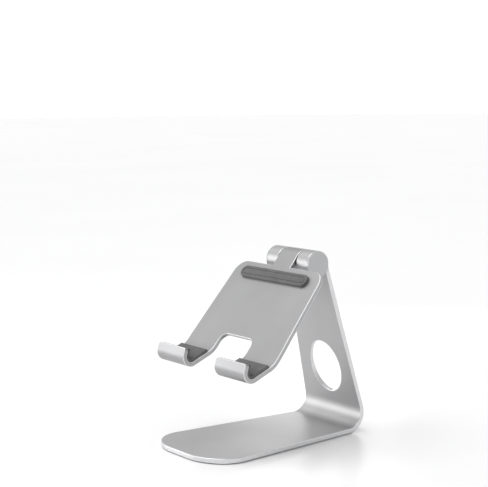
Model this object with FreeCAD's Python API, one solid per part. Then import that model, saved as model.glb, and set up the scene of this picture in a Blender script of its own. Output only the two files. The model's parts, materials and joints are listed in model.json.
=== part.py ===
import FreeCAD, Part
import math
import os

V = FreeCAD.Vector
X = V(1, 0, 0)
Z = V(0, 0, 1)

# Tablet stand. Millimetres, +Z up. The origin is the middle of the footprint on the desk, the foot's rounded
# end points along -Y and the tablet faces -Y. The stand is symmetric about the plane x = 0, apart from the
# screw and the dowel in its barrel.

# Driving dimensions of the base: one bent strip that tapers from the foot's front to the hinge.
FOOT_LENGTH = 136.0
FRONT_WIDTH = 82.0
SHEET = 3.2
BEND_INSIDE = 11.0
LEAN = 14.0                 # degrees by which the upright leans forward
HINGE_HEIGHT = 118.7
CORNER_X = 29.0             # half axes of the foot's two front corners
CORNER_Y = 23.7
HOLE_HALF_WIDTH = 15.7      # the cable hole is an upright oval
HOLE_HALF_HEIGHT = 18.9
HOLE_UP = 39.7              # cable hole's centre, up the upright from the inner corner
FOOT_PAD_PROUD = 0.5
FOOT_PAD_SUNK = 0.7
FOOT_PAD_RADIUS = 5.5
FOOT_PAD_LENGTH = 24.0

# Driving dimensions of the hinge barrel, along X from its middle.
BARREL_RADIUS = 9.3
BARREL_WIDTH = 43.0         # across the knuckles, without the end caps
CAP_THICK = 1.0
KNUCKLE_LENGTH = 11.5
WASHER_THICK = 0.6
FACE_GAP = 0.05             # between a friction washer and the centre knuckle
BARREL_CLEARANCE = 0.6      # round the centre knuckle, inside the base's slot
SCREW_RADIUS = 2.5
SCREW_FIT = 0.05
BUSHING_RADIUS = 4.0
COUNTERBORE_RADIUS = 6.0
COUNTERBORE_FLOOR = 3.0
CAP_RIM_DEPTH = 1.6
CAP_RIM = 1.4
NUT_FLATS = 8.0
NUT_THICK = 4.0
SPRING_COUNT = 4
SPRING_THICK = 0.45
SPRING_RISE = 0.2
SPRING_GAP = 0.02
SPRING_RADIUS = 5.0
HEAD_RADIUS = 4.25
HEAD_THICK = 2.6
HEX_SOCKET = 3.0
STOP_RADIUS = 1.0           # dowel
STOP_ORBIT = 6.9            # dowel's distance from the hinge axis
STOP_REACH = 2.0            # how far the dowel stands into the base's knuckle

# Driving dimensions of the cradle, in its own plane: u runs from the hinge axis to the hooks, and n to the
# tablet.
PLATE = 3.0
REST_ANGLE = 49.5           # plate's angle below the horizontal at rest
TURN_BACK = 54.5            # travel from rest until the plate is parallel to the upright
TURN_UP = 129.8             # travel from rest to the raised position
SHOULDER_U = 10.6
SHOULDER_WIDTH = 90.0
PLATE_WIDTH = 97.6
SHOULDER_CORNER = 9.0
ARM_U = 75.0                # where the plate splits into two arms
KINK_U = 81.6
KINK_ANGLE = 27.2
KINK_RADIUS = 14.0
HOOK_BOTTOM_U = 101.7
HOOK_INSIDE = 3.8
HOOK_TURN = 129.5
LIP_LENGTH = 4.8
LIP_CORNER = 2.0
HOOK_INNER_X = 17.4
NOTCH_CORNER = 6.0
HOOK_PAD = 2.0
HOOK_PAD_INSET = 0.6
BACK_PAD = 2.2
BACK_PAD_U = (15.0, 24.0)
BACK_PAD_WIDTH = 70.0

# Derived places of the base.
UNDERSIDE = FOOT_PAD_PROUD
TOP = UNDERSIDE + SHEET
BEND_OUTSIDE = BEND_INSIDE + SHEET
BEND_Y = FOOT_LENGTH / 2 - BEND_OUTSIDE
BEND_Z = TOP + BEND_INSIDE
LEAN_RAD = math.radians(LEAN)
BEND_TURN = math.pi / 2 + LEAN_RAD
UP = V(0, -math.sin(LEAN_RAD), math.cos(LEAN_RAD))
BACK = V(0, math.cos(LEAN_RAD), math.sin(LEAN_RAD))
BEND_CENTRE = V(0, BEND_Y, BEND_Z)
BEND_TOP = BEND_CENTRE + BACK * BEND_INSIDE       # where the upright's front face starts
INNER_CORNER_OFFSET = BEND_INSIDE * math.tan(BEND_TURN / 2)
INNER_CORNER = BEND_TOP - UP * INNER_CORNER_OFFSET
AXIS_OFFSET = BARREL_RADIUS - SHEET               # upright's front face lies this far behind the hinge axis
AXIS_UP = (HINGE_HEIGHT - BEND_TOP.z + AXIS_OFFSET * math.sin(LEAN_RAD)) / math.cos(LEAN_RAD)
AXIS = BEND_TOP + UP * AXIS_UP - BACK * AXIS_OFFSET

# The strip's half width falls evenly along its middle line, from the foot's front to the slot under the
# barrel.
FOOT_RUN = BEND_Y + FOOT_LENGTH / 2
BEND_RUN = (BEND_INSIDE + SHEET / 2) * BEND_TURN
SLOT_DEPTH = BARREL_RADIUS + BARREL_CLEARANCE
STRIP_RUN = FOOT_RUN + BEND_RUN + AXIS_UP - SLOT_DEPTH
TAPER = (FRONT_WIDTH - BARREL_WIDTH) / 2 / STRIP_RUN

BARREL_END = BARREL_WIDTH / 2
BARREL_INNER = BARREL_END - KNUCKLE_LENGTH
CENTRE_END = BARREL_INNER - WASHER_THICK - FACE_GAP
NUT_SEAT = 15.0             # distance from the middle to the floor that the nut bears on

# The cradle's own directions at rest.
REST_RAD = math.radians(REST_ANGLE)
ALONG = V(0, -math.cos(REST_RAD), -math.sin(REST_RAD))
FACING = V(0, -math.sin(REST_RAD), math.cos(REST_RAD))


def half_width(run):
    """Half the strip's width at a distance along its middle line from the foot's front."""
    return FRONT_WIDTH / 2 - TAPER * run


def prism(points, direction):
    """The solid swept by a closed polygon."""
    wire = Part.makePolygon(points + [points[0]])
    return Part.Face(wire).extrude(direction)


def wire_face(edges):
    return Part.Face(Part.Wire(Part.__sortEdges__(edges)))


def tube(outer, inner, start, end):
    """A ring about the hinge axis from x = start to x = end."""
    base = AXIS + X * start
    ring = Part.makeCylinder(outer, end - start, base, X)
    return ring.cut(Part.makeCylinder(inner, end - start, base, X))


def rod(radius, start, end):
    return Part.makeCylinder(radius, end - start, AXIS + X * start, X)


def hexagon(flats, start, end):
    """A hexagonal prism about the hinge axis."""
    corner = flats / math.sqrt(3)
    turns = [math.pi / 3 * i for i in range(6)]
    points = [AXIS + V(start, corner * math.sin(t), corner * math.cos(t)) for t in turns]
    return prism(points, X * (end - start))


def foot():
    """The flat foot: an outline with two elliptical front corners."""
    front = -FOOT_LENGTH / 2
    side = half_width(CORNER_Y)
    back = half_width(FOOT_RUN)
    level = UNDERSIDE
    flat = side - CORNER_X
    edges = []
    for s in (-1, 1):
        centre = V(s * (side - CORNER_X), front + CORNER_Y, level)
        ellipse = Part.Ellipse(centre, CORNER_X, CORNER_Y)
        if s > 0:
            edges.append(Part.ArcOfEllipse(ellipse, 1.5 * math.pi, 2 * math.pi).toShape())
        else:
            edges.append(Part.ArcOfEllipse(ellipse, math.pi, 1.5 * math.pi).toShape())
        corner = V(s * side, front + CORNER_Y, level)
        edges.append(Part.LineSegment(corner, V(s * back, BEND_Y, level)).toShape())
    edges.append(Part.LineSegment(V(-flat, front, level), V(flat, front, level)).toShape())
    edges.append(Part.LineSegment(V(-back, BEND_Y, level), V(back, BEND_Y, level)).toShape())
    return wire_face(edges).extrude(Z * SHEET)


def bend_outward(turn):
    """Direction from the bend's centre at an angle past straight down."""
    return V(0, math.sin(turn), -math.cos(turn))


def bend():
    """The quarter-and-a-bit of tube between foot and upright, its sides cut to the taper."""
    width = 2 * half_width(FOOT_RUN)
    start = BEND_CENTRE - X * (width / 2)
    inner = V(start.x, BEND_Y, TOP)
    outer = V(start.x, BEND_Y, UNDERSIDE)
    section = Part.Face(Part.makePolygon([inner, outer, outer + X * width, inner + X * width, inner]))
    solid = section.revolve(BEND_CENTRE, X, math.degrees(BEND_TURN))
    steps = 8
    margin = 1.0
    for s in (-1, 1):
        wires = []
        for i in range(steps + 1):
            turn = BEND_TURN * i / steps
            out = bend_outward(turn)
            edge = V(s * half_width(FOOT_RUN + BEND_RUN * i / steps), 0, 0)
            far = edge + X * (s * width / 4)
            low = BEND_CENTRE + out * (BEND_INSIDE - margin)
            high = BEND_CENTRE + out * (BEND_OUTSIDE + margin)
            corners = [low + edge, high + edge, high + far, low + far, low + edge]
            wires.append(Part.makePolygon(corners))
        solid = solid.cut(Part.makeLoft(wires, True, False))
    return solid


def upright():
    """The leaning sheet, up to the hinge axis."""
    low = half_width(FOOT_RUN + BEND_RUN)
    high = half_width(STRIP_RUN)
    slot = BEND_TOP + UP * (AXIS_UP - SLOT_DEPTH)
    top = BEND_TOP + UP * AXIS_UP
    right = [BEND_TOP + X * low, slot + X * high, top + X * high]
    left = [top - X * high, slot - X * high, BEND_TOP - X * low]
    points = right + left
    return prism(points, BACK * SHEET)


def stop_turn(margin):
    """The dowel's two limits as turns about +X from its place at rest, with some margin past each."""
    return -math.radians(TURN_UP + margin), math.radians(TURN_BACK + margin)


def stop_centre():
    """The dowel's centre at rest: straight out from the hinge axis, away from the plate."""
    return AXIS - ALONG * STOP_ORBIT


def stop_groove():
    """The arc groove in the right knuckle's inner face that the dowel runs in."""
    clearance = 0.3
    radius = STOP_RADIUS + clearance
    depth = STOP_REACH + clearance
    low, high = stop_turn(1.0)
    face = AXIS + X * BARREL_INNER
    sector = tube(STOP_ORBIT + radius, STOP_ORBIT - radius, BARREL_INNER, BARREL_INNER + depth)
    reach = 3 * BARREL_RADIUS
    steps = 6
    fan = [face]
    for i in range(steps + 1):
        turn = low + (high - low) * i / steps
        spoke = AXIS + FreeCAD.Rotation(X, math.degrees(turn)).multVec(-ALONG) * reach
        fan.append(spoke + X * BARREL_INNER)
    groove = sector.common(prism(fan, X * depth))
    for turn in (low, high):
        place = FreeCAD.Rotation(X, math.degrees(turn)).multVec(-ALONG) * STOP_ORBIT
        groove = groove.fuse(Part.makeCylinder(radius, depth, face + place, X))
    return groove


def knuckle_slot():
    """The space in the upright's top that the cradle's knuckle turns in."""
    corner = AXIS - UP * SLOT_DEPTH - X * BARREL_INNER
    side = corner + X * (2 * BARREL_INNER)
    height = UP * (2 * SLOT_DEPTH)
    return prism([corner, side, side + height, corner + height], BACK * (2 * BARREL_RADIUS))


def cable_hole():
    """An oval prism through the upright."""
    centre = INNER_CORNER + UP * HOLE_UP - BACK * SHEET
    top = centre + UP * HOLE_HALF_HEIGHT
    side = centre + X * HOLE_HALF_WIDTH
    oval = Part.Ellipse(top, side, centre).toShape()
    return Part.Face(Part.Wire(oval)).extrude(BACK * (3 * SHEET))


def foot_pad_places():
    """Node name, centre and direction of each rubber foot."""
    places = {}
    for end, y, inset in (("front", -FOOT_LENGTH / 2 + 16.0, 19.0), ("rear", BEND_Y - 10.0, 16.0)):
        for side, s in (("left", -1), ("right", 1)):
            places["foot_pad_" + end + "_" + side] = V(s * inset, y, 0)
    return places


def foot_pad(centre, height):
    """A rubber foot: a bar with round ends, lying along X, from the desk upwards."""
    half = FOOT_PAD_LENGTH / 2 - FOOT_PAD_RADIUS
    box = Part.makeBox(2 * half, 2 * FOOT_PAD_RADIUS, height, centre - V(half, FOOT_PAD_RADIUS, 0))
    for s in (-1, 1):
        box = box.fuse(Part.makeCylinder(FOOT_PAD_RADIUS, height, centre + X * (s * half), Z))
    return box.removeSplitter()


def base_frame():
    frame = foot().fuse([bend(), upright()])
    frame = frame.cut(knuckle_slot())
    knuckles = [rod(BARREL_RADIUS, -BARREL_END, -BARREL_INNER), rod(BARREL_RADIUS, BARREL_INNER, BARREL_END)]
    frame = frame.fuse(knuckles)
    frame = frame.cut(rod(SCREW_RADIUS + SCREW_FIT, -BARREL_END, BARREL_END))
    frame = frame.cut(rod(COUNTERBORE_RADIUS, BARREL_INNER + COUNTERBORE_FLOOR, BARREL_END))
    frame = frame.cut(rod(COUNTERBORE_RADIUS, -BARREL_END, -BARREL_END + CAP_RIM_DEPTH))
    frame = frame.cut(hexagon(NUT_FLATS, -BARREL_END, -NUT_SEAT))
    frame = frame.cut(stop_groove())
    frame = frame.cut(cable_hole())
    for centre in foot_pad_places().values():
        frame = frame.cut(foot_pad(centre, FOOT_PAD_PROUD + FOOT_PAD_SUNK))
    return frame.removeSplitter()


def hinge_hardware():
    """The screw and what is on it: the nut at its left end, and the washer and springs under its head."""
    springs_start = BARREL_INNER + COUNTERBORE_FLOOR
    pitch = SPRING_THICK + SPRING_RISE + SPRING_GAP
    springs = []
    for i in range(SPRING_COUNT):
        springs.append(disc_spring(springs_start + i * pitch, i % 2 == 0))
    washer_start = springs_start + SPRING_COUNT * pitch
    washer_end = washer_start + 1.0
    head_end = washer_end + HEAD_THICK
    tip = -NUT_SEAT - NUT_THICK
    screw = rod(SCREW_RADIUS, tip, washer_end).fuse(rod(HEAD_RADIUS, washer_end, head_end))
    screw = screw.cut(hexagon(HEX_SOCKET, head_end - 1.6, head_end)).removeSplitter()
    nut = hexagon(NUT_FLATS, tip, -NUT_SEAT)
    nut = nut.cut(rod(SCREW_RADIUS, -BARREL_END, 0))
    return {
        "hinge_bolt": screw,
        "lock_nut": nut,
        "disc_springs": Part.makeCompound(springs),
        "bolt_washer": tube(SPRING_RADIUS, SCREW_RADIUS + 0.2, washer_start, washer_end),
    }


def disc_spring(start, opens_right):
    """A shallow conical ring about the hinge axis."""
    inner = SCREW_RADIUS + 0.2
    low, high = (0, SPRING_RISE) if opens_right else (SPRING_RISE, 0)
    points = [
        AXIS + V(start + low, inner, 0),
        AXIS + V(start + low + SPRING_THICK, inner, 0),
        AXIS + V(start + high + SPRING_THICK, SPRING_RADIUS, 0),
        AXIS + V(start + high, SPRING_RADIUS, 0),
    ]
    return Part.Face(Part.makePolygon(points + [points[0]])).revolve(AXIS, X, 360)


def end_cap(s):
    """A disc with a short rim that is pushed into a knuckle's counterbore; s is the side."""
    disc = rod(BARREL_RADIUS, BARREL_END, BARREL_END + CAP_THICK)
    outer_rim = [e for e in disc.Edges if abs(e.BoundBox.XMax - BARREL_END - CAP_THICK) < 0.01
                 and e.BoundBox.XLength < 0.01]
    disc = disc.makeChamfer(0.35, outer_rim)
    rim = tube(COUNTERBORE_RADIUS, HEAD_RADIUS + 0.5, BARREL_END - CAP_RIM, BARREL_END)
    cap = disc.fuse(rim).removeSplitter()
    if s < 0:
        cap = cap.mirror(V(0, 0, 0), X)
    return cap


def flat_arc(centre, radius, start, turn):
    """An arc in the cradle's u, n plane as three points, from the direction start through turn."""
    angles = [start, start + turn / 2, start + turn]
    return [(centre[0] + radius * math.cos(a), centre[1] + radius * math.sin(a)) for a in angles]


def hook_path(offset):
    """Points of the line that lies this far above the arm's tablet side, from the arm's start to the lip.

    Each stretch is a list of (u, n) points: two for a straight run and three for an arc."""
    kink = math.radians(KINK_ANGLE)
    hook = math.radians(HOOK_TURN)
    face = BARREL_RADIUS
    kink_run = KINK_RADIUS * math.tan(kink / 2)
    kink_start = KINK_U - kink_run
    kink_centre = (kink_start, face + KINK_RADIUS)
    first = flat_arc(kink_centre, KINK_RADIUS - offset, -math.pi / 2, kink)
    reach = HOOK_BOTTOM_U - PLATE - HOOK_INSIDE
    run = (reach - KINK_U + HOOK_INSIDE * math.sin(kink)) / math.cos(kink)
    foot_point = (KINK_U + run * math.cos(kink), face + run * math.sin(kink))
    centre_u = foot_point[0] - HOOK_INSIDE * math.sin(kink)
    centre_n = foot_point[1] + HOOK_INSIDE * math.cos(kink)
    hook_centre = (centre_u, centre_n)
    second = flat_arc(hook_centre, HOOK_INSIDE - offset, kink - math.pi / 2, hook)
    lip = kink + hook
    tip = (second[2][0] + LIP_LENGTH * math.cos(lip), second[2][1] + LIP_LENGTH * math.sin(lip))
    start = (ARM_U, face + offset)
    return [[start, first[0]], first, [first[2], second[0]], second, [second[2], tip]]


def cradle_point(x, flat):
    return AXIS + X * x + ALONG * flat[0] + FACING * flat[1]


def path_edges(path, x):
    edges = []
    for stretch in path:
        points = [cradle_point(x, p) for p in stretch]
        if len(points) == 2:
            edges.append(Part.LineSegment(points[0], points[1]).toShape())
        else:
            edges.append(Part.Arc(points[0], points[1], points[2]).toShape())
    return edges


def strip_between(path_a, path_b, x, width):
    """The solid between two paths, swept along X."""
    edges = path_edges(path_a, x) + path_edges(path_b, x)
    for end in (0, -1):
        ends = (path_a[end][end], path_b[end][end])
        edges.append(Part.LineSegment(cradle_point(x, ends[0]), cradle_point(x, ends[1])).toShape())
    return wire_face(edges).extrude(X * width)


def arm(s):
    """One arm with its kink, hook and lip; s is the side."""
    width = PLATE_WIDTH / 2 - HOOK_INNER_X
    start = HOOK_INNER_X if s > 0 else -HOOK_INNER_X - width
    solid = strip_between(hook_path(0), hook_path(-PLATE), start, width)
    tip = cradle_point(0, hook_path(0)[-1][-1])
    outer_tip = cradle_point(0, hook_path(-PLATE)[-1][-1])
    corners = []
    for edge in solid.Edges:
        ends = [V(0, v.Point.y, v.Point.z) for v in edge.Vertexes]
        if len(ends) == 2 and {round(p.distanceToPoint(tip), 1) for p in ends} == {0.0, PLATE}:
            if min(p.distanceToPoint(outer_tip) for p in ends) < 0.01:
                corners.append(edge)
    return solid.makeFillet(LIP_CORNER, corners)


def plate():
    """The flat plate from its shoulders to the arms, with the notch between them."""
    half_low = SHOULDER_WIDTH / 2
    half_high = PLATE_WIDTH / 2
    points = [(-half_low, SHOULDER_U), (half_low, SHOULDER_U), (half_high, ARM_U), (-half_high, ARM_U)]
    back = BARREL_RADIUS - PLATE
    solid = prism([cradle_point(x, (u, back)) for x, u in points], FACING * PLATE)
    shoulders = []
    for edge in solid.Edges:
        middle = edge.CenterOfMass - AXIS
        along_face = abs(middle.dot(FACING) - BARREL_RADIUS + PLATE / 2) < 0.01
        if along_face and abs(middle.dot(ALONG) - SHOULDER_U) < 0.01 and abs(middle.x) > half_low - 1:
            shoulders.append(edge)
    return solid.makeFillet(SHOULDER_CORNER, shoulders)


def notch_end():
    """The rounded upper end of the notch between the arms."""
    half = HOOK_INNER_X
    depth = NOTCH_CORNER + 1.0
    corner = cradle_point(-half, (ARM_U - depth, BARREL_RADIUS - 2 * PLATE))
    side = cradle_point(half, (ARM_U - depth, BARREL_RADIUS - 2 * PLATE))
    points = [corner, side, side + ALONG * (depth + 1), corner + ALONG * (depth + 1)]
    solid = prism(points, FACING * (3 * PLATE))
    upper = []
    for edge in solid.Edges:
        middle = edge.CenterOfMass - AXIS
        level = abs(middle.dot(ALONG) - (ARM_U - depth)) < 0.01
        if level and abs(abs(middle.x) - half) < 0.01:
            upper.append(edge)
    return solid.makeFillet(NOTCH_CORNER, upper)


def cradle_plate():
    tongue_corner = cradle_point(-CENTRE_END, (0, BARREL_RADIUS - PLATE))
    other = tongue_corner + X * (2 * CENTRE_END)
    reach = ALONG * (SHOULDER_U + 1)
    tongue = prism([tongue_corner, other, other + reach, tongue_corner + reach], FACING * PLATE)
    solid = plate().fuse([arm(-1), arm(1), tongue, rod(BARREL_RADIUS, -CENTRE_END, CENTRE_END)])
    solid = solid.cut(notch_end())
    solid = solid.cut(rod(BUSHING_RADIUS, -CENTRE_END, CENTRE_END))
    pin = stop_centre() + X * (CENTRE_END - 4)
    return solid.cut(Part.makeCylinder(STOP_RADIUS, 8, pin, X)).removeSplitter()


def stop_pin():
    start = stop_centre() + X * (CENTRE_END - 4)
    length = 4 + WASHER_THICK + FACE_GAP + STOP_REACH
    return Part.makeCylinder(STOP_RADIUS, length, start, X)


def friction_washer(s):
    """A washer on the base's knuckle. It stays inside the dowel's orbit."""
    start = BARREL_INNER - WASHER_THICK if s > 0 else -BARREL_INNER
    outer = STOP_ORBIT - STOP_RADIUS - 0.3 if s > 0 else BARREL_RADIUS - 0.4
    return tube(outer, SCREW_RADIUS + SCREW_FIT, start, start + WASHER_THICK)


def bushing(s):
    start = 0 if s > 0 else -CENTRE_END
    return tube(BUSHING_RADIUS, SCREW_RADIUS + SCREW_FIT, start, start + CENTRE_END)


def hook_pad(s):
    """The rubber liner of one hook, from just past the kink to the lip's end."""
    width = PLATE_WIDTH / 2 - HOOK_INNER_X - 2 * HOOK_PAD_INSET
    start = HOOK_INNER_X + HOOK_PAD_INSET if s > 0 else -HOOK_INNER_X - HOOK_PAD_INSET - width
    return strip_between(hook_path(0)[2:], hook_path(HOOK_PAD)[2:], start, width)


def back_pad():
    """The rubber strip across the plate beside the hinge, with round ends."""
    low, high = BACK_PAD_U
    radius = (high - low) / 2
    half = BACK_PAD_WIDTH / 2 - radius
    middle = (low + high) / 2
    corner = cradle_point(-half, (low, BARREL_RADIUS))
    across = corner + X * (2 * half)
    reach = ALONG * (high - low)
    solid = prism([corner, across, across + reach, corner + reach], FACING * BACK_PAD)
    for s in (-1, 1):
        end = cradle_point(s * half, (middle, BARREL_RADIUS))
        solid = solid.fuse(Part.makeCylinder(radius, BACK_PAD, end, FACING))
    return solid.removeSplitter()


def build():
    """Every node's name and shape."""
    nodes = {"base_frame": base_frame(), "cradle_plate": cradle_plate(), "back_pad": back_pad()}
    nodes["stop_pin"] = stop_pin()
    nodes.update(hinge_hardware())
    for side, s in (("left", -1), ("right", 1)):
        nodes["end_cap_" + side] = end_cap(s)
        nodes["hinge_bushing_" + side] = bushing(s)
        nodes["friction_washer_" + side] = friction_washer(s)
        nodes["hook_pad_" + side] = hook_pad(s)
    for name, centre in foot_pad_places().items():
        nodes[name] = foot_pad(centre, FOOT_PAD_PROUD + FOOT_PAD_SUNK)
    return nodes


os.makedirs("parts", exist_ok=True)
for node_name, node_shape in build().items():
    node_shape.exportStep("parts/" + node_name + ".step")
    print(node_name, len(node_shape.Solids), node_shape.isValid(), round(node_shape.Volume, 1))
print("hinge axis", AXIS)
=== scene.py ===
import json
import math
from itertools import accumulate

import bmesh
import bpy
from mathutils import Matrix, Vector


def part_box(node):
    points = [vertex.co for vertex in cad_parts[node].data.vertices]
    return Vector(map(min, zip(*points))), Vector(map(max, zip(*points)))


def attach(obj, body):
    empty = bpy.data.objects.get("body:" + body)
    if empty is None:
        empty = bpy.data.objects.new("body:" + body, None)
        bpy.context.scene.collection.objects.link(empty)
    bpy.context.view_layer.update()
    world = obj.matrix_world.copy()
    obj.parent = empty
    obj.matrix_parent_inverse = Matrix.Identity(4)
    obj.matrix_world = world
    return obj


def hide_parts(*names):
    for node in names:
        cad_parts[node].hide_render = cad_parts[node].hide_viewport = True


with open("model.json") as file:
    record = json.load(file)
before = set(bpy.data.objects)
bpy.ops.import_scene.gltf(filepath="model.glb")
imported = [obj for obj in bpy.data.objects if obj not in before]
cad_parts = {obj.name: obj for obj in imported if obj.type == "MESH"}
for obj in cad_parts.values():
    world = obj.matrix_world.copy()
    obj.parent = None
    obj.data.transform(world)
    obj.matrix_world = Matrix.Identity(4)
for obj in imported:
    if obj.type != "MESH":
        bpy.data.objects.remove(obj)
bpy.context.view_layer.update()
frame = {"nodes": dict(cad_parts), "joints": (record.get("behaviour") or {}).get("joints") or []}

MM = 0.001
X = Vector((1, 0, 0))

# --------------------------------------------------------------------------------------------------
# Sizes of the visible shapes, in millimetres. Places come from the frame: the hinge axis and its range from
# the joint, the underside and the pads from the nodes' boxes.

# The base: one bent strip that tapers from the foot's front to the hinge.
FOOT_LENGTH = 136.0
FRONT_HALF = 41.0           # half width at the foot's front, if its corners were square
SHEET = 3.2
BEND_INSIDE = 11.0
LEAN = math.radians(14.0)   # the upright leans forward
CORNER_X = 29.0             # half axes of the foot's two front corners
CORNER_Y = 23.7
HOLE_HALF_WIDTH = 15.7      # the cable hole is an upright oval
HOLE_HALF_HEIGHT = 18.9
HOLE_UP = 39.7              # cable hole's centre, up the upright from the inner corner
EDGE = 0.45                 # chamfer along the sheet's edges

# The barrel, along X from its middle.
BARREL_RADIUS = 9.3
KNUCKLE_INNER = 10.0
KNUCKLE_END = 21.5
KNUCKLE_FLOOR = 3.0         # from an outer knuckle's inner face to its counterbore
COUNTERBORE = 6.0
SCREW_BORE = 2.55
BUSHING_BORE = 4.0
SLOT_CLEARANCE = 0.6        # round the centre knuckle, inside the base's slot
CENTRE_HALF = 9.35
HEAD_CLEAR = 4.75           # radius inside an end cap, round the screw's head or the nut

# The cradle, in its own plane: u runs from the hinge axis to the hooks, and n to the tablet.
PLATE = 3.0
REST_ANGLE = math.radians(49.5)
SHOULDER_U = 10.6
SHOULDER_HALF = 45.0
SHOULDER_CORNER = 9.0
SHOULDER_STEPS = 12         # rows of cells round the shoulder's corner; the next row is the plate
PLATE_HALF = 48.8
ARM_U = 75.0                # where the plate has its full width and the notch's sides are straight
NOTCH_HALF = 17.4
NOTCH_CORNER = 6.0
NOTCH_STRAIGHT = 1.0        # from the notch's rounded corners to ARM_U
KINK_U = 81.6
KINK_ANGLE = math.radians(27.2)
KINK_RADIUS = 14.0
HOOK_BOTTOM_U = 101.7
HOOK_INSIDE = 3.8
HOOK_TURN = math.radians(129.5)
LIP_LENGTH = 4.8
LIP_CORNER = 2.0
HOOK_PAD = 2.0
BACK_PAD = 2.2

SMOOTH_ANGLE = math.radians(40)
WELD = 0.002                # corners of a built mesh that lie closer than this are one corner
CUT_WELD = 0.0001           # the same, after the cutters have gone through
CHAMFER_SLOT = 1
CUT_SLOT = 2


def box_mm(node):
    """The low and high corners of a node's box, in millimetres."""
    low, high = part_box(node)
    return low / MM, high / MM


HINGE = next(joint for joint in frame["joints"] if joint["name"] == "cradle_tilt")
AXIS = Vector(HINGE["pos_m"]) / MM
FRONT_Y = -FOOT_LENGTH / 2
TOP = box_mm("base_frame")[0].z + SHEET
BEND_TURN = math.pi / 2 + LEAN
BEND_Y = FOOT_LENGTH / 2 - BEND_INSIDE - SHEET
BEND_CENTRE = Vector((0, BEND_Y, TOP + BEND_INSIDE))
UP = Vector((0, -math.sin(LEAN), math.cos(LEAN)))
BACK = Vector((0, math.cos(LEAN), math.sin(LEAN)))
BEND_TOP = BEND_CENTRE + BACK * BEND_INSIDE
AXIS_UP = (AXIS - BEND_TOP).dot(UP)
SLOT_DEPTH = BARREL_RADIUS + SLOT_CLEARANCE
FOOT_RUN = BEND_Y - FRONT_Y
BEND_RUN = (BEND_INSIDE + SHEET / 2) * BEND_TURN
STRIP_RUN = FOOT_RUN + BEND_RUN + AXIS_UP - SLOT_DEPTH
TAPER = (FRONT_HALF - KNUCKLE_END) / STRIP_RUN

ALONG = Vector((0, -math.cos(REST_ANGLE), -math.sin(REST_ANGLE)))
FACING = Vector((0, -math.sin(REST_ANGLE), math.cos(REST_ANGLE)))


# --------------------------------------------------------------------------------------------------
# Mesh tools. All of them work in millimetres, and new_object turns the result to metres.

def face(bm, verts):
    """A face, unless two of its corners fall together."""
    unique = list(dict.fromkeys(verts))
    if len(unique) > 2:
        return bm.faces.new(unique)
    return None


def rim_face(bm, verts):
    """A face of the sheet's cut edge, in its own material slot."""
    made = face(bm, verts)
    if made is not None:
        made.material_index = CUT_SLOT


def grid_solid(bm, stations, present, open_start=(), open_end=()):
    """A sheet solid over a grid. Each station is (columns, point, out): the x of each column, the place of
    the inner face, and the step from there through the thickness. present(i, j) says which cells are sheet.
    Walls close every edge, apart from the cells in open_start and open_end, which join something else."""
    verts = {}

    def vert(i, j, side):
        if (i, j, side) not in verts:
            columns, point, out = stations[i]
            verts[i, j, side] = bm.verts.new(X * columns[j] + point + out * side)
        return verts[i, j, side]

    rows = len(stations) - 1
    cells = len(stations[0][0]) - 1

    def filled(i, j):
        return 0 <= i < rows and 0 <= j < cells and present(i, j)

    def wall(first, second):
        rim_face(bm, [vert(*first, 0), vert(*second, 0), vert(*second, 1), vert(*first, 1)])

    for i in range(rows):
        for j in range(cells):
            if not filled(i, j):
                continue
            for side in (0, 1):
                corners = ((i, j), (i + 1, j), (i + 1, j + 1), (i, j + 1))
                face(bm, [vert(*corner, side) for corner in corners])
            if not filled(i, j - 1):
                wall((i, j), (i + 1, j))
            if not filled(i, j + 1):
                wall((i, j + 1), (i + 1, j + 1))
            if not filled(i - 1, j) and not (i == 0 and j in open_start):
                wall((i, j), (i, j + 1))
            if not filled(i + 1, j) and not (i == rows - 1 and j in open_end):
                wall((i + 1, j), (i + 1, j + 1))


def knuckle(bm, place, thickness, reach, bores):
    """A hinge knuckle on the end of a sheet. place(x, a, b) gives a point: the sheet runs towards -b and its
    outer face is tangent to the barrel at a = BARREL_RADIUS. bores lists (start, end, radius) along x. The
    end at b = -reach is left open, to join the sheet."""
    inner = BARREL_RADIUS - thickness
    leave = 2 * math.pi - math.acos(inner / BARREL_RADIUS)
    steps = 72                  # round the outside
    hidden = 12                 # over the stretch that the sheet covers
    angles = [leave * i / steps for i in range(steps + 1)]
    angles += [leave + (2 * math.pi - leave) * i / hidden for i in range(1, hidden)]

    def ring(x, radius):
        return [bm.verts.new(place(x, radius * math.cos(t), radius * math.sin(t))) for t in angles]

    def wall(first, second, pairs):
        for i, k in pairs:
            face(bm, [first[i], first[k], second[k], second[i]])

    count = len(angles)
    around = [(i, (i + 1) % count) for i in range(count)]
    start, end = bores[0][0], bores[-1][1]
    caps = []
    for x, bore in ((start, bores[0]), (end, bores[-1])):
        rim = ring(x, BARREL_RADIUS)
        tail = [bm.verts.new(place(x, a, -reach)) for a in (inner, BARREL_RADIUS)]
        rim_face(bm, rim[steps:] + [rim[0]] + [tail[1], tail[0]])
        caps.append((rim, tail, ring(x, bore[2])))
        wall(rim, caps[-1][2], around)
    (rim_a, tail_a, hole_a), (rim_b, tail_b, hole_b) = caps
    wall(rim_a, rim_b, around[:steps])
    face(bm, [rim_a[0], rim_b[0], tail_b[1], tail_a[1]])
    face(bm, [rim_a[steps], rim_b[steps], tail_b[0], tail_a[0]])
    previous = hole_a
    for k, (_, x, radius) in enumerate(bores):
        last = k == len(bores) - 1
        following = hole_b if last else ring(x, radius)
        wall(previous, following, around)
        if not last:
            step = ring(x, bores[k + 1][2])
            wall(following, step, around)
            previous = step


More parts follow.
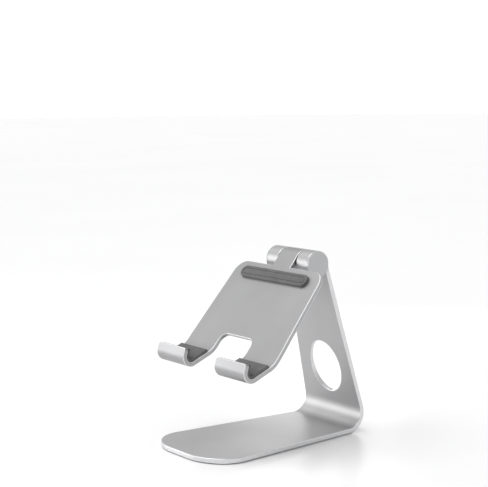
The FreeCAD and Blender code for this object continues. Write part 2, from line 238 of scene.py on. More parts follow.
def lathe(bm, profile, segments=128):
    """A solid turned about the hinge axis. profile lists (x, radius) and starts and ends on the axis."""
    turns = [2 * math.pi * i / segments for i in range(segments)]
    rings = []
    for x, radius in profile:
        if radius == 0:
            rings.append([bm.verts.new(AXIS + X * x)] * segments)
            continue
        points = [AXIS + Vector((x, radius * math.cos(t), radius * math.sin(t))) for t in turns]
        rings.append([bm.verts.new(point) for point in points])
    for low, high in zip(rings, rings[1:]):
        for i in range(segments):
            k = (i + 1) % segments
            face(bm, [low[i], low[k], high[k], high[i]])


def stadium(length, width, inset, segments=20):
    """Points of a bar with round ends, drawn in by inset."""
    radius = width / 2 - inset
    half = length / 2 - width / 2
    points = []
    for end in (1, -1):
        for i in range(segments + 1):
            turn = math.pi * i / segments - math.pi / 2
            points.append((end * (half + radius * math.cos(turn)), end * radius * math.sin(turn)))
    return points


def bar_pad(bm, place, length, width, height, edge, groove, depth):
    """A moulded rubber bar: a rounded rim, then a groove that runs round inside it, at a distance of groove
    from the rim. place(p, q, h) gives a point."""
    profile = [(0.0, 0.0)]
    steps = 6
    flank = 0.25
    floor = 0.3
    for i in range(steps + 1):
        turn = math.pi / 2 * i / steps
        profile.append((edge * (1 - math.cos(turn)), height - edge * (1 - math.sin(turn))))
    for inset, drop in ((0.0, 0.0), (flank, depth), (flank + floor, depth), (2 * flank + floor, 0.0)):
        profile.append((groove + inset, height - drop))
    loops = []
    for inset, level in profile:
        loops.append([bm.verts.new(place(p, q, level)) for p, q in stadium(length, width, inset)])
    for low, high in zip(loops, loops[1:]):
        for i in range(len(low)):
            k = (i + 1) % len(low)
            face(bm, [low[i], low[k], high[k], high[i]])
    face(bm, loops[0])
    face(bm, loops[-1])


def is_sharp(edge):
    """Whether two faces meet at the edge at more than the smooth angle."""
    return len(edge.link_faces) == 2 and edge.calc_face_angle(0) > SMOOTH_ANGLE


def close_up(bm):
    """Joins corners that fall together and turns every face outwards."""
    bmesh.ops.remove_doubles(bm, verts=bm.verts, dist=WELD)
    bmesh.ops.recalc_face_normals(bm, faces=bm.faces)


def merge_flat(bm):
    """Joins the faces of one plane, so that no row of the grid runs into a chamfer at a shallow angle."""
    bmesh.ops.dissolve_limit(
        bm, angle_limit=math.radians(0.05), use_dissolve_boundaries=False, verts=bm.verts, edges=bm.edges,
        delimit={"MATERIAL"},
    )


def chamfer(bm, chooser):
    """Rounds the sharp outer edges that chooser accepts. The new faces get the chamfer material's slot,
    whose light colour is a painted highlight.
    """
    edges = [e for e in bm.edges if is_sharp(e) and e.is_convex and chooser(e)]
    bmesh.ops.bevel(
        bm, geom=edges, offset=EDGE, offset_type="OFFSET", segments=3, profile=0.5, affect="EDGES",
        clamp_overlap=False, material=CHAMFER_SLOT, loop_slide=False,
    )


def new_object(name, bm, materials, body, replaces):
    """Makes the piece from a mesh in millimetres and ties it to the frame."""
    bmesh.ops.scale(bm, vec=Vector((MM, MM, MM)), verts=bm.verts)
    for f in bm.faces:
        f.smooth = True
    for e in bm.edges:
        e.smooth = len(e.link_faces) != 2 or e.calc_face_angle(0) < SMOOTH_ANGLE
    mesh = bpy.data.meshes.new(name)
    bm.to_mesh(mesh)
    bm.free()
    for material in materials:
        mesh.materials.append(material)
    piece = bpy.data.objects.new(name, mesh)
    bpy.context.scene.collection.objects.link(piece)
    modifier = piece.modifiers.new("even_normals", "WEIGHTED_NORMAL")
    modifier.keep_sharp = True
    modifier.weight = 100
    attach(piece, body)
    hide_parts(*replaces)
    return piece


def cut_away(bm, cutters):
    """Takes the cutters' solids out of the mesh, one after another. Each cutter is a bmesh, and is freed."""
    mesh = bpy.data.meshes.new("cut_body")
    bm.to_mesh(mesh)
    body = bpy.data.objects.new("cut_body", mesh)
    bpy.context.scene.collection.objects.link(body)
    for cutter in cutters:
        tool_mesh = bpy.data.meshes.new("cut_tool")
        cutter.to_mesh(tool_mesh)
        cutter.free()
        tool = bpy.data.objects.new("cut_tool", tool_mesh)
        bpy.context.scene.collection.objects.link(tool)
        modifier = body.modifiers.new("cut", "BOOLEAN")
        modifier.operation = "DIFFERENCE"
        modifier.solver = "EXACT"
        modifier.object = tool
        bpy.context.view_layer.update()
        result = bpy.data.meshes.new_from_object(body.evaluated_get(bpy.context.evaluated_depsgraph_get()))
        body.modifiers.clear()
        body.data = result
        bpy.data.objects.remove(tool)
    bm.clear()
    bm.from_mesh(body.data)
    bpy.data.objects.remove(body)
    bmesh.ops.remove_doubles(bm, verts=bm.verts, dist=CUT_WELD)


def prism_tool(points, direction):
    """A cutter: a closed polygon swept along a direction."""
    bm = bmesh.new()
    low = [bm.verts.new(p) for p in points]
    high = [bm.verts.new(p + direction) for p in points]
    face(bm, low)
    face(bm, high)
    for i in range(len(low)):
        k = (i + 1) % len(low)
        face(bm, [low[i], low[k], high[k], high[i]])
    bmesh.ops.recalc_face_normals(bm, faces=bm.faces)
    return bm


def oval_tool(centre, across, other, sweep, segments=128):
    """A cutter: an oval about centre with the half axes across and other, swept along sweep."""
    turns = [2 * math.pi * i / segments for i in range(segments)]
    return prism_tool([centre + across * math.cos(t) + other * math.sin(t) for t in turns], sweep)


# --------------------------------------------------------------------------------------------------
# Materials

def shader(name):
    """A new material, its node tree and its main shader node."""
    material = bpy.data.materials.new(name)
    material.use_nodes = True
    return material, material.node_tree, material.node_tree.nodes["Principled BSDF"]


def node(tree, kind, **inputs):
    """A new node with constants on its sockets."""
    made = tree.nodes.new(kind)
    for key, value in inputs.items():
        made.inputs[key.replace("_", " ")].default_value = value
    return made


def noise(tree, scale, detail=3.0, stretch=(1, 1, 1), roughness=0.5):
    """Noise over the piece's own coordinates; stretch makes it run in one direction."""
    place = tree.nodes.new("ShaderNodeTexCoord")
    mapping = tree.nodes.new("ShaderNodeMapping")
    mapping.inputs["Scale"].default_value = stretch
    tree.links.new(place.outputs["Object"], mapping.inputs["Vector"])
    made = node(tree, "ShaderNodeTexNoise", Scale=scale, Detail=detail, Roughness=roughness)
    tree.links.new(mapping.outputs["Vector"], made.inputs["Vector"])
    return made


def ramp(tree, source, low, high, start=0.3, end=0.7):
    """Maps a factor between start and end to a range of values or colours."""
    made = tree.nodes.new("ShaderNodeValToRGB")
    for element, position, value in zip(made.color_ramp.elements, (start, end), (low, high)):
        element.position = position
        element.color = (*value, 1) if isinstance(value, tuple) else (value, value, value, 1)
    tree.links.new(source, made.inputs["Fac"])
    return made.outputs["Color"]


def bump(tree, bsdf, *layers):
    """Adds bump layers one over another, each (height output, strength, distance in metres)."""
    previous = None
    for height, strength, distance in layers:
        made = node(tree, "ShaderNodeBump", Strength=strength, Distance=distance)
        tree.links.new(height, made.inputs["Height"])
        if previous is not None:
            tree.links.new(previous, made.inputs["Normal"])
        previous = made.outputs["Normal"]
    tree.links.new(previous, bsdf.inputs["Normal"])


def satin_aluminium(name, low, high):
    """Bead-blasted and anodised: a fine grain in its height and gloss, and a slow drift of colour."""
    material, tree, bsdf = shader(name)
    bsdf.inputs["Metallic"].default_value = 0.88
    drift = noise(tree, 22, 2)
    grain = noise(tree, 5200, 2, roughness=0.7)
    blast = noise(tree, 1500, 3, roughness=0.6)
    tree.links.new(ramp(tree, drift.outputs["Fac"], low, high), bsdf.inputs["Base Color"])
    tree.links.new(ramp(tree, blast.outputs["Fac"], 0.40, 0.47), bsdf.inputs["Roughness"])
    bump(tree, bsdf, (grain.outputs["Fac"], 0.35, 0.00003), (blast.outputs["Fac"], 0.25, 0.00004))
    return material


def cut_aluminium(name, low, high, smooth, rough):
    """Machined edges, with slight wear. The chamfer is smoother than the wall that it runs along. The tones
    in low and high are painted light: lighter rims and chamfers stand in for light and highlights, darker
    cradle copies for shade.
    """
    material, tree, bsdf = shader(name)
    bsdf.inputs["Metallic"].default_value = 1.0
    wear = noise(tree, 420, 4, roughness=0.65)
    tree.links.new(ramp(tree, wear.outputs["Fac"], low, high), bsdf.inputs["Base Color"])
    tree.links.new(ramp(tree, wear.outputs["Fac"], smooth, rough), bsdf.inputs["Roughness"])
    bump(tree, bsdf, (wear.outputs["Fac"], 0.15, 0.00003))
    return material


def cap_aluminium():
    """The end caps: brushed, with fine lines that run level."""
    material, tree, bsdf = shader("cap_aluminium")
    bsdf.inputs["Metallic"].default_value = 1.0
    lines = noise(tree, 260, 6, stretch=(1, 1.5, 28), roughness=0.7)
    colour = ramp(tree, lines.outputs["Fac"], (0.44, 0.443, 0.45), (0.52, 0.523, 0.53))
    tree.links.new(colour, bsdf.inputs["Base Color"])
    tree.links.new(ramp(tree, lines.outputs["Fac"], 0.36, 0.46), bsdf.inputs["Roughness"])
    bump(tree, bsdf, (lines.outputs["Fac"], 0.3, 0.00004))
    return material


def rubber(name, low, high, roughness):
    """Matte silicone: a slight mottle in its colour, a fine moulded grain and a soft sheen."""
    material, tree, bsdf = shader(name)
    mottle = noise(tree, 160, 3)
    grain = noise(tree, 3200, 3, roughness=0.65)
    tree.links.new(ramp(tree, mottle.outputs["Fac"], low, high), bsdf.inputs["Base Color"])
    gloss = ramp(tree, grain.outputs["Fac"], roughness, roughness + 0.14)
    tree.links.new(gloss, bsdf.inputs["Roughness"])
    bsdf.inputs["Specular IOR Level"].default_value = 0.35
    bsdf.inputs["Sheen Weight"].default_value = 0.12
    bsdf.inputs["Sheen Roughness"].default_value = 0.5
    bump(tree, bsdf, (grain.outputs["Fac"], 0.35, 0.00005))
    return material


def hard_metal(name, low, high, roughness, scale=900):
    """A metal part inside the barrel, with fine marks round the hinge axis."""
    material, tree, bsdf = shader(name)
    bsdf.inputs["Metallic"].default_value = 1.0
    marks = noise(tree, scale, 4, stretch=(6, 1, 1), roughness=0.6)
    tree.links.new(ramp(tree, marks.outputs["Fac"], low, high), bsdf.inputs["Base Color"])
    gloss = ramp(tree, marks.outputs["Fac"], roughness, roughness + 0.12)
    tree.links.new(gloss, bsdf.inputs["Roughness"])
    bump(tree, bsdf, (marks.outputs["Fac"], 0.2, 0.00003))
    return material


BASE_SATIN = satin_aluminium("base_satin", (0.445, 0.445, 0.45), (0.485, 0.485, 0.49))
# The cradle's aluminium is the base's satin finish painted darker: painted shade that dims the plate and
# hooks.
CRADLE_SATIN_PAINTED_SHADE = satin_aluminium("cradle_satin_painted_shade", (0.352, 0.352, 0.357), (0.392, 0.392, 0.397))
# Chamfers: smoother machined metal, and a light colour that paints their highlight.
CHAMFER_MACHINED_AND_PAINTED_HIGHLIGHT = cut_aluminium("chamfer_machined_and_painted_highlight", (0.72, 0.723, 0.73), (0.77, 0.772, 0.78), 0.27, 0.33)
# The sheet's cut rims and hole walls, painted lighter than its faces: painted light on the side faces, with
# slight real wear in the mottle.
RIM_WEAR_AND_PAINTED_LIGHT = cut_aluminium("cut_edge_wear_and_painted_light", (0.68, 0.683, 0.69), (0.73, 0.733, 0.74), 0.35, 0.41)
CAP = cap_aluminium()
# The cradle's cut rims, painted darker than the base's: painted shade on the hooks' sides, with slight real
# wear in the mottle.
CRADLE_RIM_PAINTED_SHADE = cut_aluminium("cradle_rim_painted_shade", (0.42, 0.42, 0.425), (0.46, 0.46, 0.465), 0.38, 0.44)
# The cradle's chamfers: smoother machined metal, painted lighter than its faces as a highlight, though
# dimmer than the base's.
CRADLE_CHAMFER_PAINTED_HIGHLIGHT = cut_aluminium("cradle_chamfer_painted_highlight", (0.66, 0.663, 0.67), (0.71, 0.712, 0.72), 0.30, 0.36)
PAD = rubber("pad_rubber", (0.095, 0.092, 0.092), (0.125, 0.121, 0.121), 0.52)
FOOT_RUBBER = rubber("foot_rubber", (0.030, 0.030, 0.031), (0.048, 0.048, 0.049), 0.60)
POLYMER = rubber("washer_polymer", (0.020, 0.020, 0.022), (0.034, 0.034, 0.036), 0.42)
STEEL = hard_metal("plated_steel", (0.50, 0.50, 0.51), (0.62, 0.62, 0.63), 0.26)
SPRING = hard_metal("spring_steel", (0.22, 0.22, 0.23), (0.32, 0.32, 0.34), 0.32)
BRONZE = hard_metal("sintered_bronze", (0.48, 0.30, 0.15), (0.62, 0.42, 0.22), 0.38, scale=2400)


# --------------------------------------------------------------------------------------------------
# The base: one tapering strip, its bend, its upright and its two knuckles

def half_width(run):
    """The strip's half width at a distance along its middle line."""
    return FRONT_HALF - TAPER * run


def strip_place(run):
    """The strip's inner face and the step to its outer face, at a distance along its middle line."""
    if run <= FOOT_RUN:
        return Vector((0, FRONT_Y + run, TOP)), Vector((0, 0, -SHEET))
    if run <= FOOT_RUN + BEND_RUN:
        turn = BEND_TURN * (run - FOOT_RUN) / BEND_RUN
        out = Vector((0, math.sin(turn), -math.cos(turn)))
        return BEND_CENTRE + out * BEND_INSIDE, out * SHEET
    return BEND_TOP + UP * (run - FOOT_RUN - BEND_RUN), BACK * SHEET


def strip_station(run, half):
    """A station of the strip. Its inner columns are the slot's sides, where the knuckles join on."""
    point, out = strip_place(run)
    return [-half, -KNUCKLE_INNER, KNUCKLE_INNER, half], point, out


def strip_stations():
    """The front's two elliptical corners, the straight foot, the bend and the upright."""
    stations = []
    corner_steps = 24
    side = half_width(CORNER_Y)
    for i in range(corner_steps + 1):
        turn = math.pi / 2 * i / corner_steps
        run = CORNER_Y * (1 - math.cos(turn))
        stations.append(strip_station(run, side - CORNER_X * (1 - math.sin(turn))))
    bend_steps = 32
    for i in range(bend_steps + 1):
        run = FOOT_RUN + BEND_RUN * i / bend_steps
        stations.append(strip_station(run, half_width(run)))
    stations.append(strip_station(STRIP_RUN, KNUCKLE_END))
    return stations


def base_place(x, a, b):
    """A point of the base's knuckles: a through the upright, b up along it."""
    return AXIS + X * x + BACK * a + UP * b


def base_shell():
    """The strip with its knuckles, cable hole, dowel groove and pockets for the feet."""
    bm = bmesh.new()
    grid_solid(bm, strip_stations(), lambda i, j: True, open_end=(0, 2))
    bore_end = KNUCKLE_INNER + KNUCKLE_FLOOR
    for sign in (-1, 1):
        bores = [
            (sign * KNUCKLE_INNER, sign * bore_end, SCREW_BORE),
            (sign * bore_end, sign * KNUCKLE_END, COUNTERBORE),
        ]
        knuckle(bm, base_place, SHEET, SLOT_DEPTH, bores)
    close_up(bm)
    corner = BEND_TOP - UP * (BEND_INSIDE * math.tan(BEND_TURN / 2))
    hole = corner + UP * HOLE_UP - BACK * SHEET
    sweep = BACK * (3 * SHEET)
    cutters = [oval_tool(hole, X * HOLE_HALF_WIDTH, UP * HOLE_HALF_HEIGHT, sweep), groove_tool()]
    for end in ("front", "rear"):
        for side in ("left", "right"):
            cutters.append(pocket_tool("foot_pad_" + end + "_" + side))
    cut_away(bm, cutters)
    for f in bm.faces:
        if in_hole_wall(f, hole):
            f.material_index = CUT_SLOT
    merge_flat(bm)
    chamfer(bm, shows_on_base)
    # The base's rims and chamfers are painted lighter than its faces, as painted light and a painted
    # highlight.
    materials = [BASE_SATIN, CHAMFER_MACHINED_AND_PAINTED_HIGHLIGHT, RIM_WEAR_AND_PAINTED_LIGHT]
    new_object("base_shell", bm, materials, "base", ["base_frame"])


def in_hole_wall(f, hole):
    """Whether a face is square to the sheet and close to the cable hole's oval."""
    offset = f.calc_center_median() - hole
    share = math.hypot(offset.x / HOLE_HALF_WIDTH, offset.dot(UP) / HOLE_HALF_HEIGHT)
    near = share < 1.02 and abs(offset.dot(BACK)) < 2 * SHEET
    return near and abs(f.normal.dot(BACK)) < 0.1


def shows_on_base(edge):
    """Whether an edge shows: not those of the pockets under the foot or inside the barrel."""
    foot_border = 3
    front_border = 8
    rear_border = 2
    barrel_rim = 0.8
    barrel_end = 0.1
    middle = (edge.verts[0].co + edge.verts[1].co) / 2
    under_foot = middle.z < TOP - EDGE and abs(middle.x) < half_width(middle.y - FRONT_Y) - foot_border
    in_pocket = under_foot and FRONT_Y + front_border < middle.y < BEND_Y - rear_border
    offset = middle - AXIS
    from_axis = math.hypot(offset.y, offset.z)
    in_barrel = from_axis < BARREL_RADIUS - barrel_rim and abs(offset.x) < KNUCKLE_END - barrel_end
    return not in_pocket and not in_barrel


def pocket_tool(name):
    """A cutter with the outline and height of a rubber foot."""
    low, high = box_mm(name)
    middle = (low + high) / 2
    size = high - low
    outline = [Vector((middle.x + p, middle.y + q, low.z)) for p, q in stadium(size.x, size.y, 0)]
    return prism_tool(outline, Vector((0, 0, size.z)))


def groove_tool():
    """The arc groove for the dowel, as a cutter that starts just inside the gap beside the centre knuckle.
    It runs over the joint's whole range, with a clearance on every side of the dowel."""
    clearance = 0.3
    steps = 48
    pin_low, pin_high = box_mm("stop_pin")
    pin = (pin_low + pin_high) / 2 - AXIS
    orbit = math.hypot(pin.y, pin.z)
    rest = math.atan2(pin.z, pin.y)
    radius = (pin_high.z - pin_low.z) / 2 + clearance
    low_turn, high_turn = [math.radians(t) for t in HINGE["range_deg"]]
    margin = 0.02 + radius / orbit
    first = rest - high_turn - margin
    last = rest - low_turn + margin
    turns = [first + (last - first) * i / steps for i in range(steps + 1)]
    outer = [(orbit + radius, t) for t in turns]
    inner = [(orbit - radius, t) for t in reversed(turns)]
    start = KNUCKLE_INNER - 0.1
    points = [AXIS + Vector((start, r * math.cos(t), r * math.sin(t))) for r, t in outer + inner]
    return prism_tool(points, X * (pin_high.x + clearance - start))


# --------------------------------------------------------------------------------------------------
# The cradle: tongue and knuckle, plate, notch, kinked arms and hooks

def cradle_place(u, n):
    """A point on x = 0: u along the plate from the axis, n towards the tablet."""
    return AXIS + ALONG * u + FACING * n


def knuckle_place(x, a, b):
    """A point of the centre knuckle: a towards the tablet, b away from the plate."""
    return AXIS + X * x + FACING * a - ALONG * b


def stretches():
    """The cradle's tablet side, as (length, radius) of the plate, the kink, the arm, the hook and the lip. A
    straight stretch has the radius 0."""
    kink_run = KINK_RADIUS * math.tan(KINK_ANGLE / 2)
    hook_u = HOOK_BOTTOM_U - PLATE - HOOK_INSIDE
    arm_run = (hook_u - KINK_U + HOOK_INSIDE * math.sin(KINK_ANGLE)) / math.cos(KINK_ANGLE)
    return (
        (KINK_U - kink_run - SHOULDER_U, 0),
        (KINK_RADIUS * KINK_ANGLE, KINK_RADIUS),
        (arm_run - kink_run, 0),
        (HOOK_INSIDE * HOOK_TURN, HOOK_INSIDE),
        (LIP_LENGTH, 0),
    )


def path_marks():
    """Distances from the plate's shoulder to where each stretch ends."""
    return list(accumulate(length for length, _ in stretches()))


def path_point(distance):
    """The place and direction (u, n, turn) on the tablet side, at a distance from the plate's shoulder."""
    u, n, turn = SHOULDER_U, BARREL_RADIUS, 0.0
    for length, radius in stretches():
        part = min(distance, length)
        distance -= part
        if radius == 0:
            u += part * math.cos(turn)
            n += part * math.sin(turn)
            continue
        following = turn + part / radius
        u += radius * (math.sin(following) - math.sin(turn))
        n -= radius * (math.cos(following) - math.cos(turn))
        turn = following
    return u, n, turn


def quarter(steps):
    """Evenly spaced angles over a quarter turn."""
    return [math.pi / 2 * i / steps for i in range(steps + 1)]


def spread(start, end, steps):
    """Evenly spaced values after start, up to end."""
    return [start + (end - start) * i / steps for i in range(1, steps + 1)]


def cradle_stations():
    """Every station of the plate and arms, with the half widths of its outer side and of the notch."""
    plate_end, kink_end, arm_end, hook_end, lip_end = path_marks()
    notch_start = ARM_U - NOTCH_CORNER - NOTCH_STRAIGHT - SHOULDER_U
    straight = ARM_U - SHOULDER_U
    narrow = NOTCH_HALF - NOTCH_CORNER
    notch_steps = 10
    kink_steps = 10
    hook_steps = 28
    lip_steps = 8

    def outer(distance):
        share = min(distance / straight, 1.0)
        return SHOULDER_HALF + (PLATE_HALF - SHOULDER_HALF) * share

    rows = []
    for turn in quarter(SHOULDER_STEPS):
        distance = SHOULDER_CORNER * (1 - math.cos(turn))
        rows.append((distance, outer(distance) - SHOULDER_CORNER * (1 - math.sin(turn)), narrow))
    for turn in quarter(notch_steps):
        distance = notch_start + NOTCH_CORNER * (1 - math.cos(turn))
        rows.append((distance, outer(distance), narrow + NOTCH_CORNER * math.sin(turn)))
    later = [straight, plate_end] + spread(plate_end, kink_end, kink_steps) + [arm_end]
    later += spread(arm_end, hook_end, hook_steps) + [lip_end - LIP_CORNER]
    rows += [(distance, outer(distance), NOTCH_HALF) for distance in later]
    for turn in quarter(lip_steps)[1:]:
        inset = LIP_CORNER * (1 - math.cos(turn))
        rows.append((lip_end - LIP_CORNER * (1 - math.sin(turn)), PLATE_HALF - inset, NOTCH_HALF + inset))
    stations = []
    for distance, half, notch in rows:
        u, n, turn = path_point(distance)
        out = (ALONG * math.sin(turn) - FACING * math.cos(turn)) * PLATE
        columns = [-half, -notch, -CENTRE_HALF, CENTRE_HALF, notch, half]
        stations.append((columns, cradle_place(u, n), out))
    return stations


def cradle_shell():
    """The plate with its knuckle, arms and hooks, and the hole that holds the dowel."""
    bm = bmesh.new()

    def present(i, j):
        """The plate has every column, and past it only the two arms go on."""
        return i <= SHOULDER_STEPS or j in (0, 4)

    grid_solid(bm, cradle_stations(), present, open_start=(2,))
    knuckle(bm, knuckle_place, PLATE, SHOULDER_U, [(-CENTRE_HALF, CENTRE_HALF, BUSHING_BORE)])
    close_up(bm)
    pin_low, pin_high = box_mm("stop_pin")
    middle = (pin_low + pin_high) / 2
    radius = (pin_high.z - pin_low.z) / 2
    start = Vector((pin_low.x, middle.y, middle.z))
    sweep = X * (2 * CENTRE_HALF)
    cut_away(bm, [oval_tool(start, Vector((0, radius, 0)), Vector((0, 0, radius)), sweep, segments=32)])
    merge_flat(bm)
    chamfer(bm, shows_on_cradle)
    # All three cradle materials are darker copies of the base's: painted shade on its faces and rims, and a
    # dimmer painted highlight on its chamfers.
    materials = [CRADLE_SATIN_PAINTED_SHADE, CRADLE_CHAMFER_PAINTED_HIGHLIGHT, CRADLE_RIM_PAINTED_SHADE]
    new_object("cradle_shell", bm, materials, "cradle", ["cradle_plate"])


def shows_on_cradle(edge):
    """Whether an edge shows: not those of the bore and the dowel's hole, inside the barrel."""
    barrel_rim = 0.4
    offset = (edge.verts[0].co + edge.verts[1].co) / 2 - AXIS
    return math.hypot(offset.y, offset.z) >= BARREL_RADIUS - barrel_rim


# --------------------------------------------------------------------------------------------------
# Pads, feet and end caps

def hook_liner(side):
    """A ribbed silicone liner on the arm, the hook and the lip, with rounded sides and ends."""
    low, high = box_mm("hook_pad_" + side)
    _, kink_end, _, _, lip_end = path_marks()
    run = lip_end - kink_end
    rib = 1.5
    groove = 0.35
    groove_sharpness = 0.35
    rounding = 0.5
    steps = 150
    corner = [(rounding * (1 - math.cos(t)), rounding * (1 - math.sin(t))) for t in quarter(4)]
    across = [(low.x + inset, drop) for inset, drop in corner]
    across += [(high.x - inset, drop) for inset, drop in reversed(corner)]
    bm = bmesh.new()
    inner = []
    outer = []
    for i in range(steps + 1):
        along = run * i / steps
        u, n, turn = path_point(kink_end + along)
        wave = 0.5 - 0.5 * math.cos(2 * math.pi * along / rib)
        ends = min(along, run - along, rounding) / rounding
        lowered = rounding * (1 - math.sqrt(1 - (1 - ends) ** 2))
        thick = HOOK_PAD - groove * (1 - wave ** groove_sharpness) - lowered
        inward = FACING * math.cos(turn) - ALONG * math.sin(turn)
        point = cradle_place(u, n)
        inner.append([bm.verts.new(point + X * x) for x, _ in across])
        outer.append([bm.verts.new(point + X * x + inward * (thick - drop)) for x, drop in across])
    for rows in (inner, outer):
        for first, second in zip(rows, rows[1:]):
            for j in range(len(across) - 1):
                face(bm, [first[j], second[j], second[j + 1], first[j + 1]])
    for j in (0, -1):
        for i in range(steps):
            face(bm, [inner[i][j], inner[i + 1][j], outer[i + 1][j], outer[i][j]])
    for i in (0, -1):
        for j in range(len(across) - 1):
            face(bm, [inner[i][j], inner[i][j + 1], outer[i][j + 1], outer[i][j]])
    close_up(bm)
    piece = new_object("hook_liner_" + side, bm, [PAD], "cradle", ["hook_pad_" + side])


def back_strip():
    """The rubber strip near the hinge that the tablet's back leans on."""
    low, high = box_mm("back_pad")
    middle = (low + high) / 2
    width = 9.0
    u = (middle - AXIS).dot(ALONG)

    def place(p, q, h):
        return cradle_place(u - q, BARREL_RADIUS + h) + X * p

    bm = bmesh.new()
    bar_pad(bm, place, high.x - low.x, width, BACK_PAD, edge=0.7, groove=1.9, depth=0.35)
    close_up(bm)
    piece = new_object("back_strip", bm, [PAD], "cradle", ["back_pad"])


def rubber_foot(end, side):
    """A rubber foot, with its groove on the side that stands on the desk."""
    name = "foot_pad_" + end + "_" + side
    low, high = box_mm(name)
    middle = (low + high) / 2
    size = high - low

    def place(p, q, h):
        return Vector((middle.x + p, middle.y + q, high.z - h))

    bm = bmesh.new()
    bar_pad(bm, place, size.x, size.y, size.z, edge=0.35, groove=1.6, depth=0.3)
    close_up(bm)
    title = "rubber_foot_" + end + "_" + side
    piece = new_object(title, bm, [FOOT_RUBBER], "base", [name])


def barrel_cap(side, sign):
    """A turned disc with a chamfered rim, painted light as a highlight, and a hollow spigot in the
    counterbore.
    """
    seam = 0.18
    back_bevel = 0.3
    face_bevel = 0.38
    inside = KNUCKLE_END + 0.3
    spigot_end = KNUCKLE_END - 1.4
    spigot = COUNTERBORE - 0.05
    back = KNUCKLE_END + seam
    front = KNUCKLE_END + 1.0
    outer = BARREL_RADIUS - 0.1
    profile = [
        (inside, 0), (inside, HEAD_CLEAR), (spigot_end, HEAD_CLEAR), (spigot_end, spigot),
        (back, spigot), (back, outer - back_bevel), (back + back_bevel / 2, outer),
        (front - face_bevel, outer), (front, outer - face_bevel), (front, 0),
    ]
    bm = bmesh.new()
    lathe(bm, [(sign * x, radius) for x, radius in profile])
    close_up(bm)
    for f in bm.faces:
        middle = f.calc_center_median() - AXIS
        on_rim = math.hypot(middle.y, middle.z) > outer - face_bevel - 0.01
        if on_rim and abs(middle.x) > front - face_bevel:
            f.material_index = CHAMFER_SLOT
    new_object("barrel_cap_" + side, bm, [CAP, CHAMFER_MACHINED_AND_PAINTED_HIGHLIGHT], "base", ["end_cap_" + side])


def finish_inner_parts():
    """The small parts in the barrel keep their CAD shapes and get their own materials."""
    finishes = {
        "hinge_bolt": STEEL, "lock_nut": STEEL, "bolt_washer": STEEL,
        "disc_springs": SPRING, "stop_pin": SPRING,
        "hinge_bushing_left": BRONZE, "hinge_bushing_right": BRONZE,
        "friction_washer_left": POLYMER, "friction_washer_right": POLYMER,
    }
    for name, material in finishes.items():
        mesh = frame["nodes"][name].data
        mesh.materials.clear()
        mesh.materials.append(material)


# --------------------------------------------------------------------------------------------------
# Studio. Places and sizes are in metres here.

def studio_floor():
    """A wide, plain, pale floor, a hair below the feet so that the two never share a plane."""
    gap = 0.00002
    material, tree, bsdf = shader("studio_paper")
    mottle = noise(tree, 3, 3)
    colour = ramp(tree, mottle.outputs["Fac"], (0.87, 0.87, 0.875), (0.89, 0.89, 0.895))
    tree.links.new(colour, bsdf.inputs["Base Color"])
    bsdf.inputs["Roughness"].default_value = 0.32
    bsdf.inputs["Specular IOR Level"].default_value = 0.22
    bm = bmesh.new()
    below = Matrix.Translation((0, 0, -gap))
    bmesh.ops.create_circle(bm, cap_ends=True, segments=128, radius=9, matrix=below)
    mesh = bpy.data.meshes.new("studio_floor")
    bm.to_mesh(mesh)
    bm.free()
    mesh.materials.append(material)
    floor = bpy.data.objects.new("studio_floor", mesh)
    bpy.context.scene.collection.objects.link(floor)


def area_light(name, place, target, size, power):
    """A rectangular light at place, turned to target. power is in watts."""
    data = bpy.data.lights.new(name, "AREA")
    data.shape = "RECTANGLE"
    data.size, data.size_y = size
    data.energy = power
    lamp = bpy.data.objects.new(name, data)
    lamp.location = place
    lamp.rotation_euler = (Vector(target) - Vector(place)).to_track_quat("-Z", "Y").to_euler()
    bpy.context.scene.collection.objects.link(lamp)


def studio_sky():
    """A white room whose ceiling is dimmer than its walls, so that metal shows its shape."""
    world = bpy.data.worlds.new("studio_world")
    bpy.context.scene.world = world
    world.use_nodes = True
    tree = world.node_tree
    place = tree.nodes.new("ShaderNodeTexCoord")
    split = tree.nodes.new("ShaderNodeSeparateXYZ")
    tree.links.new(place.outputs["Generated"], split.inputs["Vector"])
    brightness = ramp(tree, split.outputs["Z"], 1.02, 0.60, start=0.10, end=0.62)
    tree.links.new(brightness, tree.nodes["Background"].inputs["Color"])


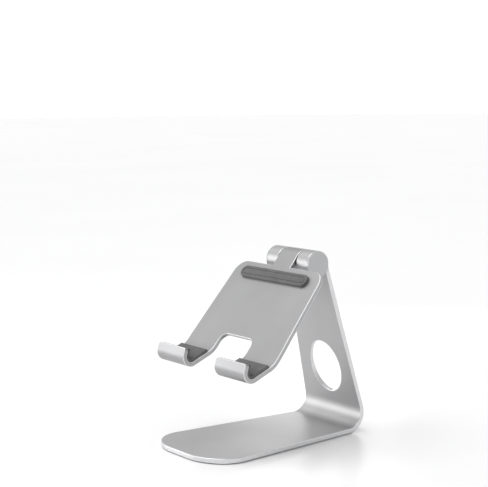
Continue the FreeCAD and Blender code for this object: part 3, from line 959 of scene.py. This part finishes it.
def lighting():
    """Two lamps low at the front left make the bend's bright band. A small one lights the foot from behind,
    and a wide overhead light gives the floor its soft shadow."""
    area_light("strip_left", (-0.86, -0.66, 0.16), (0, 0.03, 0.05), size=(0.6, 0.28), power=1.45)
    area_light("softbox_left", (-0.63, -0.38, 0.31), (0, 0.05, 0.02), size=(0.36, 0.2), power=0.4)
    area_light("fill_behind", (-0.356, 0.36, 0.13), (0, 0.045, 0), size=(0.16, 0.08), power=0.1)
    overhead = bpy.data.lights.new("overhead", "SUN")
    overhead.energy = 1.6
    overhead.angle = math.radians(50)
    lamp = bpy.data.objects.new("overhead", overhead)
    lamp.rotation_euler = Vector((0.24, 0.30, -0.92)).to_track_quat("-Z", "Y").to_euler()
    bpy.context.scene.collection.objects.link(lamp)


def camera():
    """The view from the front right, from above the hinge's height, through a long lens."""
    place = (0.68514, -0.53489, 0.24029)
    azimuth = math.radians(52.685)
    elevation = math.radians(6.981)
    roll = math.radians(-0.602)
    level = math.cos(elevation)
    forward = Vector((-math.sin(azimuth) * level, math.cos(azimuth) * level, -math.sin(elevation)))
    right = Vector((math.cos(azimuth), math.sin(azimuth), 0))
    up = right.cross(forward)
    turned_right = right * math.cos(roll) + up * math.sin(roll)
    turned_up = -right * math.sin(roll) + up * math.cos(roll)
    data = bpy.data.cameras.new("camera")
    data.sensor_width = 36
    data.lens = 96.44
    data.clip_start = 0.05
    data.clip_end = 20
    cam = bpy.data.objects.new("camera", data)
    turn = Matrix((turned_right, turned_up, -forward)).transposed()
    cam.matrix_world = Matrix.Translation(place) @ turn.to_4x4()
    bpy.context.scene.collection.objects.link(cam)
    bpy.context.scene.camera = cam


base_shell()
cradle_shell()
for side_name, sign in (("left", -1), ("right", 1)):
    hook_liner(side_name)
    barrel_cap(side_name, sign)
    for end_name in ("front", "rear"):
        rubber_foot(end_name, side_name)
back_strip()
finish_inner_parts()
studio_floor()
studio_sky()
lighting()
camera()
bpy.context.scene.view_settings.view_transform = "Standard"
